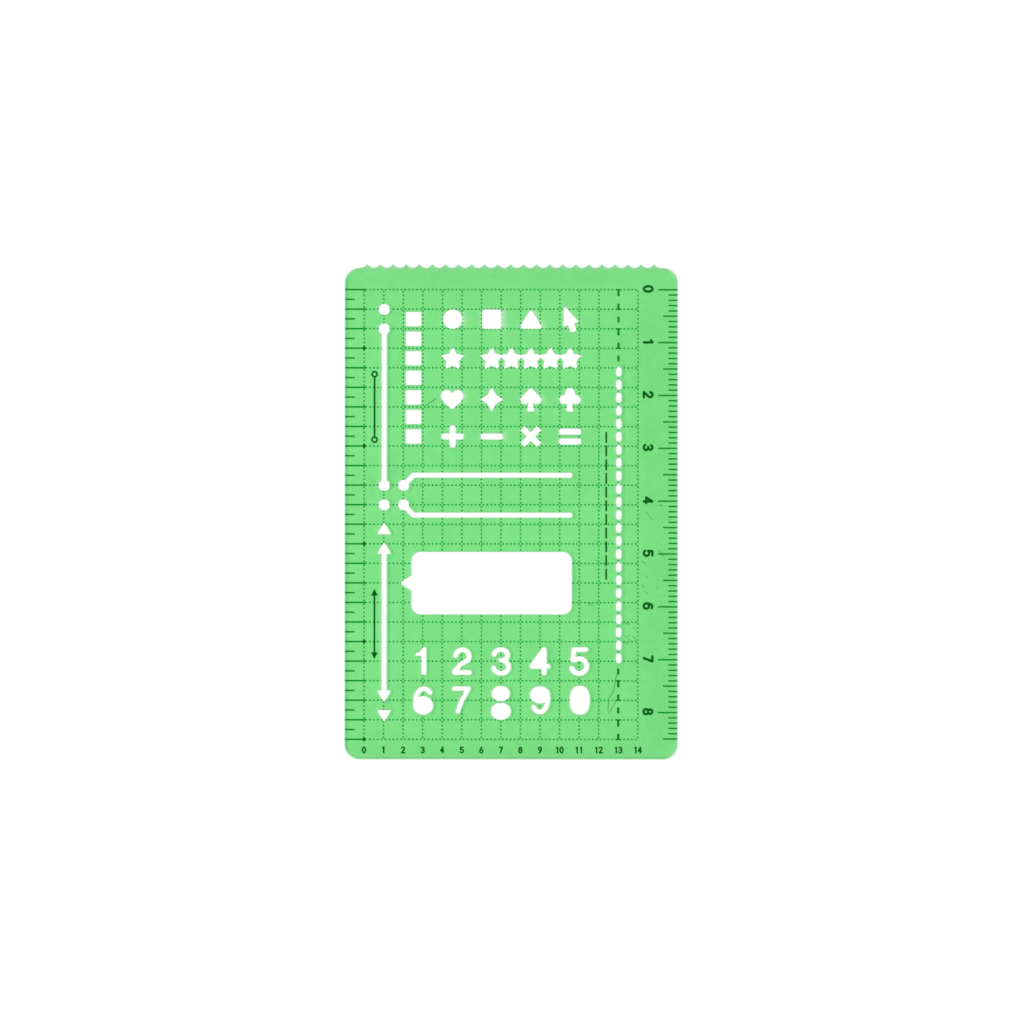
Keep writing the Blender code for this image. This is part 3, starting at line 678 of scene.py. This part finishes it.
def make_sheet(material, underside_material):
    outlines = rim_loops()
    loops = [spaced(outline, RIM_SPACING) for outline in outlines]
    points, triangles, rings = triangulated(loops, face_points(loops))
    flat = np.array([tuple(point) for point in points])
    distances, _ways = to_nearest_edge(flat, outlines)
    upper = np.column_stack((flat, SHEET_TOP - roll_off(distances)))
    low_points, low_triangles, low_rings = triangulated(loops, [])
    lower = [(point.x, point.y, 0) for point in low_points]
    start = len(upper)
    faces = list(triangles)
    faces += [(start + c, start + b, start + a) for a, b, c in low_triangles]
    for ring, low_ring in zip(rings, low_rings):
        for index, top_end in enumerate(ring):
            top_start = ring[index - 1]
            faces.append((top_start, start + low_ring[index - 1], start + low_ring[index], top_end))
    mesh = bpy.data.meshes.new("punched_sheet")
    mesh.from_pydata(np.concatenate((upper, lower)) * MILLIMETRE, [], faces)
    outer = outlines[:1]
    cuts = outlines[1:]
    shadow_banded_cuts = [cut for cut in cuts if has_broad_band(cut)]
    # Painted shade lines, painted shadow bands and painted light along the rims, and the duller
    # crests, kept as point values for the material
    lines = darker_rims(flat, (cuts, CUT_SHADE_LINES), (outer, SHEET_SHADE_LINES))
    bands = darker_rims(flat, (cuts, CUT_SHADOW_BANDS), (outer, SHEET_SHADOW_BANDS), (shadow_banded_cuts, BROAD_SHADOW_BANDS))
    add_values(mesh, "painted_rim_shade", lines)
    add_values(mesh, "painted_rim_shadow", bands)
    add_values(mesh, "painted_rim_light", paler_rims(flat, outer, cuts))
    add_values(mesh, "crest_dull", dull_crests(flat))
    mesh.shade_smooth()
    mesh.set_sharp_from_angle(angle=math.radians(SHARP_ANGLE))
    piece = placed_piece("punched_sheet", mesh, material)
    mesh.materials.append(underside_material)
    for face in mesh.polygons[len(triangles):len(triangles) + len(low_triangles)]:
        face.material_index = 1
    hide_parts("stencil_sheet")


# Printed grid

def dot_offsets(pitches):
    """Places of the dots along a grid line of so many pitches."""
    step = GRID_PITCH / DOTS_PER_PITCH
    return [(index + 0.5) * step for index in range(pitches * DOTS_PER_PITCH)]


def row_dots():
    """Dots along every row. The left ticks cover the first one."""
    outlines = []
    for row in range(GRID_ROWS):
        for offset in dot_offsets(GRID_COLUMNS - 1)[1:]:
            centre = (column_x(0) + offset, row_y(row))
            outlines.append(clipped(oval(centre, DOT_LENGTH, DOT_WIDTH, DOT_SIDES)))
    return outlines


def column_dots():
    outlines = []
    for column in range(GRID_COLUMNS):
        if column == GUIDE_COLUMN:
            continue
        for offset in dot_offsets(GRID_ROWS - 1):
            centre = (column_x(column), row_y(0) - offset)
            outlines.append(clipped(oval(centre, DOT_WIDTH, DOT_LENGTH, DOT_SIDES)))
    return outlines


def make_grid(material):
    outlines = [outline for outline in row_dots() + column_dots() if outline]
    ink_prisms("printed_grid", outlines, material)


# Printed scales

def row_marks():
    """Bold diamonds on the first column."""
    half_width = MARK_WIDTH / 2
    half_height = MARK_HEIGHT / 2
    corners = [(-half_width, 0), (0, -half_height), (half_width, 0), (0, half_height)]
    outlines = []
    for row in MARKED_ROWS:
        outlines.append([(column_x(0) + right, row_y(row) + up) for right, up in corners])
    return outlines


def make_left_scale(material, mark_material):
    edge = SHEET_LOW.x + EDGE_GAP
    half = ROW_TICK_WIDTH / 2
    outlines = []
    for half_row in range(2 * GRID_ROWS - 1):
        y = row_y(half_row / 2)
        whole = half_row % 2 == 0
        end = column_x(0) + TICK_OVERRUN if whole else edge + HALF_ROW_TICK
        outlines.append(box(edge, end, y - half, y + half))
    piece = ink_prisms("left_scale_ticks", outlines, material)
    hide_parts("left_scale_print")
    ink_prisms("row_marks", row_marks(), mark_material, INK_THICKNESS + SECOND_COAT)


def tick_length(index):
    if index % 10 == 0:
        return TENS_TICK
    return FIVES_TICK if index % 5 == 0 else UNITS_TICK


def make_right_scale(material):
    edge = SHEET_HIGH.x - EDGE_GAP
    half = MILLIMETRE_TICK_WIDTH / 2
    outlines = []
    for index in range(MILLIMETRE_TICKS):
        y = row_y(0) - index
        outlines.append(box(edge - tick_length(index), edge, y - half, y + half))
    piece = ink_prisms("millimetre_scale_ticks", outlines, material)
    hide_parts("millimetre_scale_print")


# Marks of the broken guide line

def make_guide_serifs(material):
    """Short bars where a printed dash ends on a row."""
    half = SERIF_WIDTH / 2
    x = column_x(GUIDE_COLUMN)
    rows = [row_y(row) for row in SERIF_ROWS]
    outlines = [box(x - SERIF_REACH, x + SERIF_REACH, y - half, y + half) for y in rows]
    ink_prisms("guide_serifs", outlines, material, INK_THICKNESS + SECOND_COAT)


def make_bridge_marks(material):
    """Traces of the printed line on the bridges between the guide slots."""
    pitch = GRID_PITCH / GUIDE_MARKS_PER_PITCH
    outlines = []
    for bridge in range(GUIDE_SLOTS - 1):
        y = row_y(0) - GUIDE_MARK_LEAD - (GUIDE_PRINTED_ABOVE + bridge + 0.5) * pitch
        centre = (column_x(GUIDE_COLUMN), y)
        outlines.append(oval(centre, BRIDGE_MARK_WIDTH, BRIDGE_MARK_HEIGHT, DOT_SIDES))
    ink_prisms("bridge_marks", outlines, material)


# Generic signs

def ring_sign(x, y):
    radius = SIGN_WIDTH / 2 - SIGN_STROKE / 2
    return [band(half, SIGN_STROKE) for half in half_ovals((x, y), radius, radius)]


def arrow_sign(x, y, way):
    """A solid arrow head that points up or down."""
    half = SIGN_WIDTH / 2
    head = [(x - half, y), (x + half, y), (x, y + way * SIGN_WIDTH)]
    return head if way > 0 else head[::-1]


def make_timeline_signs(material):
    x = column_x(SIGN_COLUMN)
    upper, lower = (row_y(row) for row in RING_SIGN_ROWS)
    half = SIGN_WIDTH / 2
    outlines = ring_sign(x, upper - half) + ring_sign(x, lower + half)
    outlines += strokes([(x, upper - SIGN_WIDTH), (x, lower + SIGN_WIDTH)], SIGN_STROKE)
    upper, lower = (row_y(row) for row in ARROW_SIGN_ROWS)
    outlines += [arrow_sign(x, upper - SIGN_WIDTH, 1), arrow_sign(x, lower + SIGN_WIDTH, -1)]
    outlines += strokes([(x, upper - SIGN_WIDTH), (x, lower + SIGN_WIDTH)], SIGN_STROKE)
    ink_strokes("timeline_signs", outlines, material)


def make_guide_sign(material):
    """A column of dashes beside the guide slots."""
    x = column_x(GUIDE_SIGN_COLUMN)
    top, bottom = (row_y(row) for row in GUIDE_SIGN_ROWS)
    pitch = (top - bottom) / GUIDE_SIGN_DASHES
    length = GUIDE_SIGN_DASH_SHARE * pitch
    outlines = []
    for index in range(GUIDE_SIGN_DASHES):
        start = top - index * pitch - (pitch - length) / 2
        outlines += strokes([(x, start), (x, start - length)], SIGN_STROKE)
    ink_strokes("guide_sign", outlines, material)


def digit_paths(digit):
    """Strokes of one plain digit in a box one high and 0.6 wide, its middle at the origin."""
    upper = (0, 0.24)
    lower = (0, -0.22)
    paths = {
        "0": half_ovals((0, 0), 0.26, 0.47),
        "1": [[(-0.14, 0.34), (0.04, 0.48)], [(0.04, 0.48), (0.04, -0.48)]],
        "2": [arc(upper, 0.24, 165, -35, CURVE_STEPS), [(0.2, 0.1), (-0.24, -0.46)],
              [(-0.24, -0.46), (0.26, -0.46)]],
        "3": [arc(upper, 0.23, 150, -90, CURVE_STEPS), arc(lower, 0.26, 90, -150, CURVE_STEPS)],
        "4": [[(0.1, -0.48), (0.1, 0.48)], [(0.1, 0.48), (-0.26, -0.16)],
              [(-0.26, -0.16), (0.28, -0.16)]],
        "5": [[(0.22, 0.47), (-0.18, 0.47)], [(-0.18, 0.47), (-0.22, 0.04)],
              arc((0, -0.18), 0.28, 128, -145, CURVE_STEPS + 1)],
        "6": [*half_ovals(lower, 0.25, 0.25), [(-0.24, -0.16), (-0.1, 0.28), (0.14, 0.48)]],
        "7": [[(-0.24, 0.46), (0.26, 0.46)], [(0.26, 0.46), (-0.08, -0.48)]],
        "8": half_ovals(upper, 0.21, 0.22) + half_ovals(lower, 0.26, 0.25),
        "9": [*half_ovals(upper, 0.25, 0.25), [(0.24, 0.16), (0.1, -0.28), (-0.14, -0.48)]],
    }
    return paths[digit]


def make_column_counts(material):
    """Plain numbers that count the columns, in the bottom margin."""
    step = COUNT_STEP_SHARE * COUNT_HEIGHT
    y = row_y(GRID_ROWS - 1) - COUNT_DROP
    outlines = []
    for column in range(GRID_COLUMNS):
        digits = str(column)
        for index, digit in enumerate(digits):
            x = column_x(column) + (index - (len(digits) - 1) / 2) * step
            for path in digit_paths(digit):
                placed = [(x + COUNT_HEIGHT * px, y + COUNT_HEIGHT * py) for px, py in path]
                outlines.append(band(placed, COUNT_STROKE, SIGN_CAP_STEPS))
    ink_strokes("column_counts", outlines, material)


# Wear

def photo_place(x, y):
    """Place on the sheet of a pixel of the photograph."""
    turn = math.radians(VIEW_ROLL_DEGREES)
    right = (x - IMAGE_SIDE / 2) / PIXELS_PER_MILLIMETRE
    up = (IMAGE_SIDE / 2 - y) / PIXELS_PER_MILLIMETRE
    return (VIEW_CENTRE_X + right * math.cos(turn) - up * math.sin(turn),
            VIEW_CENTRE_Y + right * math.sin(turn) + up * math.cos(turn))


def make_stray_fibre(material):
    """A hair-fine fibre pressed flat beside the guide line."""
    path = [photo_place(x, y) for x, y in FIBRE_PIXELS]
    ink_strokes("stray_fibre", [band(path, FIBRE_WIDTH)], material, FIBRE_HEIGHT)


def make_scuffs(material):
    """Short fine scuffs that run about the same way, in groups toward the right edge."""
    chance = random.Random(SCUFF_SEED)
    outlines = []
    for (column, line), spread_out, count in SCUFF_GROUPS:
        for _scuff in range(count):
            x = chance.gauss(column, spread_out / 2)
            y = chance.gauss(line, spread_out / 2)
            half_length = chance.uniform(*SCUFF_HALF_LENGTHS)
            angle = math.radians(chance.gauss(SCUFF_TURN, SCUFF_TURN_SPREAD))
            reach = Vector((math.cos(angle), math.sin(angle))) * half_length
            middle = Vector(photo_place(x, y))
            ends = [tuple(middle - reach), tuple(middle + reach)]
            if all(on_plastic(*end) for end in ends):
                outlines.append(band(ends, SCUFF_WIDTH, SCUFF_CAP_STEPS))
    ink_strokes("fine_scuffs", outlines, material, SCUFF_HEIGHT)


def make_scratch(material):
    """One longer scratch left of the heart."""
    path = [photo_place(x, y) for x, y in SCRATCH_PIXELS]
    outline = band(path, SCUFF_WIDTH, SCUFF_CAP_STEPS)
    ink_strokes("long_scratch", [outline], material, SCUFF_HEIGHT)


# Materials

def new_material(name, roughness, specular):
    material = bpy.data.materials.new(name)
    material.use_nodes = True
    tree = material.node_tree
    shader = tree.nodes["Principled BSDF"]
    shader.inputs["Roughness"].default_value = roughness
    shader.inputs["Specular IOR Level"].default_value = specular
    return material, tree, shader


def noise(tree, size, detail=PLAIN_DETAIL):
    """Noise over the object whose spots are about the size, in millimetres."""
    place = tree.nodes.new("ShaderNodeTexCoord")
    made = tree.nodes.new("ShaderNodeTexNoise")
    made.inputs["Scale"].default_value = 1 / (size * MILLIMETRE)
    made.inputs["Detail"].default_value = detail
    tree.links.new(place.outputs["Object"], made.inputs["Vector"])
    return made.outputs["Fac"]


def spread(tree, value, low, high):
    """The middle of a noise's range, stretched to run from low to high."""
    made = tree.nodes.new("ShaderNodeMapRange")
    made.inputs["From Min"].default_value = NOISE_RANGE[0]
    made.inputs["From Max"].default_value = NOISE_RANGE[1]
    made.inputs["To Min"].default_value = low
    made.inputs["To Max"].default_value = high
    tree.links.new(value, made.inputs["Value"])
    return made.outputs["Result"]


def blended(tree, share, first, second):
    """First colour, turning into the second as the share goes to one."""
    made = tree.nodes.new("ShaderNodeMix")
    made.data_type = "RGBA"
    colour_inputs = [socket for socket in made.inputs if socket.type == "RGBA"]
    tree.links.new(share, made.inputs["Factor"])
    for socket, colour in zip(colour_inputs, (first, second)):
        if isinstance(colour, tuple):
            socket.default_value = (*colour, 1)
        else:
            tree.links.new(colour, socket)
    return [socket for socket in made.outputs if socket.type == "RGBA"][0]


def point_value(tree, name):
    made = tree.nodes.new("ShaderNodeAttribute")
    made.attribute_name = name
    return made.outputs["Fac"]


def add_grain(tree, shader, height, depth):
    """Fine relief, with its depth in millimetres."""
    made = tree.nodes.new("ShaderNodeBump")
    made.inputs["Distance"].default_value = depth * MILLIMETRE
    made.inputs["Strength"].default_value = GRAIN_STRENGTH
    tree.links.new(height, made.inputs["Height"])
    tree.links.new(made.outputs["Normal"], shader.inputs["Normal"])


def past(tree, value, start, end):
    """Nought until the value reaches the start, and one from the end on."""
    made = tree.nodes.new("ShaderNodeMapRange")
    made.inputs["From Min"].default_value = start * MILLIMETRE
    made.inputs["From Max"].default_value = end * MILLIMETRE
    tree.links.new(value, made.inputs["Value"])
    return made.outputs["Result"]


def arithmetic(tree, operation, first, second):
    made = tree.nodes.new("ShaderNodeMath")
    made.operation = operation
    for socket, value in zip(made.inputs, (first, second)):
        if isinstance(value, float):
            socket.default_value = value
        else:
            tree.links.new(value, socket)
    return made.outputs["Value"]


def margin_share(tree):
    """Share of deep green over the sheet: some above, below and right of the grid."""
    place = tree.nodes.new("ShaderNodeTexCoord")
    split = tree.nodes.new("ShaderNodeSeparateXYZ")
    tree.links.new(place.outputs["Object"], split.inputs["Vector"])
    right = column_x(GRID_COLUMNS - 1)
    above = past(tree, split.outputs["Y"], row_y(0) - MARGIN_FADE, row_y(0) + MARGIN_FADE)
    beside = past(tree, split.outputs["X"], right - MARGIN_FADE, right + MARGIN_FADE)
    last_row = row_y(GRID_ROWS - 1)
    below = past(tree, split.outputs["Y"], last_row + MARGIN_FADE, last_row - MARGIN_FADE)
    share = arithmetic(tree, "MAXIMUM", arithmetic(tree, "MAXIMUM", above, beside), below)
    return arithmetic(tree, "MULTIPLY", share, MARGIN_DEPTH)


def plastic_material(name, transmission):
    """Translucent satin plastic, cloudy at two scales and a shade deeper in the margins, with painted
    shade, painted shadow and painted light along its rims, and duller crests.
    """
    material, tree, shader = new_material(name, *PLASTIC_SHEEN)
    cloud = spread(tree, noise(tree, CLOUD_SIZE), 0.0, 1.0)
    colour = blended(tree, cloud, PLASTIC_GREEN, PLASTIC_PALE_GREEN)
    speckle = spread(tree, noise(tree, SPECKLE_SIZE, FINE_DETAIL), 0.0, SPECKLE_DEPTH)
    colour = blended(tree, speckle, colour, PLASTIC_DEEP_GREEN)
    colour = blended(tree, margin_share(tree), colour, PLASTIC_DEEP_GREEN)
    # Painted shade, painted shadow and painted light along the rims, and the duller crests, read from
    # point values
    colour = blended(tree, point_value(tree, "painted_rim_shade"), colour, PLASTIC_DEEP_GREEN)
    colour = blended(tree, point_value(tree, "painted_rim_shadow"), colour, PLASTIC_SHADOW_GREEN)
    colour = blended(tree, point_value(tree, "crest_dull"), colour, PLASTIC_DULL_GREEN)
    colour = blended(tree, point_value(tree, "painted_rim_light"), colour, PLASTIC_PAINTED_LIGHT)
    tree.links.new(colour, shader.inputs["Base Color"])
    sheen = spread(tree, noise(tree, PLASTIC_SHEEN_SIZE, FINE_DETAIL), *PLASTIC_ROUGHNESSES)
    tree.links.new(sheen, shader.inputs["Roughness"])
    shader.inputs["Transmission Weight"].default_value = transmission
    shader.inputs["IOR"].default_value = PLASTIC_REFRACTION
    add_grain(tree, shader, noise(tree, PLASTIC_GRAIN_SIZE, FINE_DETAIL), PLASTIC_GRAIN_DEPTH)
    return material


def ink_material(name, thin, thick):
    """Matt screen ink that lies unevenly."""
    material, tree, shader = new_material(name, *INK_SHEEN)
    patches = spread(tree, noise(tree, INK_PATCH_SIZE, FINE_DETAIL), 0.0, 1.0)
    tree.links.new(blended(tree, patches, thin, thick), shader.inputs["Base Color"])
    sheen = spread(tree, noise(tree, INK_SHEEN_SIZE), *INK_ROUGHNESSES)
    tree.links.new(sheen, shader.inputs["Roughness"])
    add_grain(tree, shader, noise(tree, INK_GRAIN_SIZE, FINE_DETAIL), INK_GRAIN_DEPTH)
    return material


def seen_rays(tree):
    """One for the camera's rays and those that mirror it or pass it on, else nought."""
    path = tree.nodes.new("ShaderNodeLightPath")
    total = path.outputs["Is Camera Ray"]
    for name in ("Is Glossy Ray", "Is Transmission Ray"):
        total = arithmetic(tree, "MAXIMUM", total, path.outputs[name])
    return total


def table_material():
    """White table: where it is seen, mostly plain white, and for the rest lit and shadowed."""
    material, tree, shader = new_material("table_white", *TABLE_SHEEN)
    grain = spread(tree, noise(tree, TABLE_GRAIN_SIZE), 0.0, 1.0)
    tree.links.new(blended(tree, grain, TABLE_WHITE, TABLE_WHITE_DEEP), shader.inputs["Base Color"])
    white = tree.nodes.new("ShaderNodeEmission")
    white.inputs["Strength"].default_value = TABLE_GLOW
    mix = tree.nodes.new("ShaderNodeMixShader")
    tree.links.new(arithmetic(tree, "MULTIPLY", seen_rays(tree), TABLE_GLOW_SHARE), mix.inputs["Fac"])
    tree.links.new(shader.outputs["BSDF"], mix.inputs[1])
    tree.links.new(white.outputs["Emission"], mix.inputs[2])
    tree.links.new(mix.outputs["Shader"], tree.nodes["Material Output"].inputs["Surface"])
    return material


# Table, light and camera

def make_floor():
    solid = bmesh.new()
    bmesh.ops.create_grid(solid, x_segments=1, y_segments=1, size=TABLE_SIDE / 2 * MILLIMETRE)
    mesh = bpy.data.meshes.new("table")
    solid.to_mesh(mesh)
    solid.free()
    floor = bpy.data.objects.new("table", mesh)
    floor.location.z = -TABLE_DROP * MILLIMETRE
    bpy.context.scene.collection.objects.link(floor)
    mesh.materials.append(table_material())


def make_camera():
    frame_width = IMAGE_SIDE / PIXELS_PER_MILLIMETRE
    data = bpy.data.cameras.new("camera")
    data.lens = data.sensor_width * CAMERA_HEIGHT / frame_width
    data.clip_end = FARTHEST_SEEN * MILLIMETRE
    camera = bpy.data.objects.new("camera", data)
    height = SHEET_TOP + CAMERA_HEIGHT
    camera.location = Vector((VIEW_CENTRE_X, VIEW_CENTRE_Y, height)) * MILLIMETRE
    camera.rotation_euler.z = math.radians(VIEW_ROLL_DEGREES)
    bpy.context.scene.collection.objects.link(camera)
    bpy.context.scene.camera = camera


def make_world():
    """Soft studio light all round, pure white where it is seen."""
    world = bpy.data.worlds.new("studio")
    bpy.context.scene.world = world
    world.use_nodes = True
    tree = world.node_tree
    background = tree.nodes["Background"]
    background.inputs["Color"].default_value = (1, 1, 1, 1)
    strength = tree.nodes.new("ShaderNodeMapRange")
    strength.inputs["To Min"].default_value = WORLD_LIGHT
    strength.inputs["To Max"].default_value = 1.0
    path = tree.nodes.new("ShaderNodeLightPath")
    tree.links.new(path.outputs["Is Camera Ray"], strength.inputs["Value"])
    tree.links.new(strength.outputs["Result"], background.inputs["Strength"])


def make_lamp():
    data = bpy.data.lights.new("overhead", "AREA")
    data.shape = "DISK"
    data.size = LAMP_SIZE * MILLIMETRE
    data.energy = LAMP_POWER
    lamp = bpy.data.objects.new("overhead", data)
    lamp.location = Vector(LAMP_PLACE) * MILLIMETRE
    lamp.rotation_euler = (Vector((0, 0, 0)) - lamp.location).to_track_quat("-Z", "Y").to_euler()
    bpy.context.scene.collection.objects.link(lamp)


def dress_carried_nodes(numeral_material, upper_material, lower_material):
    """The solids that stay: the scale numerals, and the guide dashes on both sides of the slots."""
    for name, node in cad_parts.items():
        if name.startswith("scale_numeral"):
            material = numeral_material
        elif name.startswith("guide_dash"):
            upper = min(corner.co.y for corner in node.data.vertices) > 0
            material = upper_material if upper else lower_material
        else:
            continue
        node.data.materials.clear()
        node.data.materials.append(material)


def main():
    inks = {name: ink_material(name, *colours) for name, colours in INKS.items()}
    plastic = plastic_material("green_plastic", PLASTIC_TRANSMISSION)
    make_sheet(plastic, plastic_material("green_underside", 1.0))
    make_grid(inks["fine_dot_ink"])
    make_left_scale(inks["thin_green_ink"], inks["green_ink"])
    make_right_scale(inks["thin_green_ink"])
    make_guide_serifs(inks["guide_ink"])
    make_bridge_marks(inks["faded_ink"])
    make_timeline_signs(inks["green_ink"])
    make_guide_sign(inks["green_ink"])
    make_column_counts(inks["green_ink"])
    make_stray_fibre(inks["dark_wear"])
    make_scratch(inks["dark_wear"])
    make_scuffs(inks["scuffed_plastic"])
    dress_carried_nodes(inks["green_ink"], inks["guide_ink"], inks["dense_guide_ink"])
    make_floor()
    make_camera()
    make_world()
    make_lamp()
    bpy.context.scene.view_settings.view_transform = "Standard"


main()
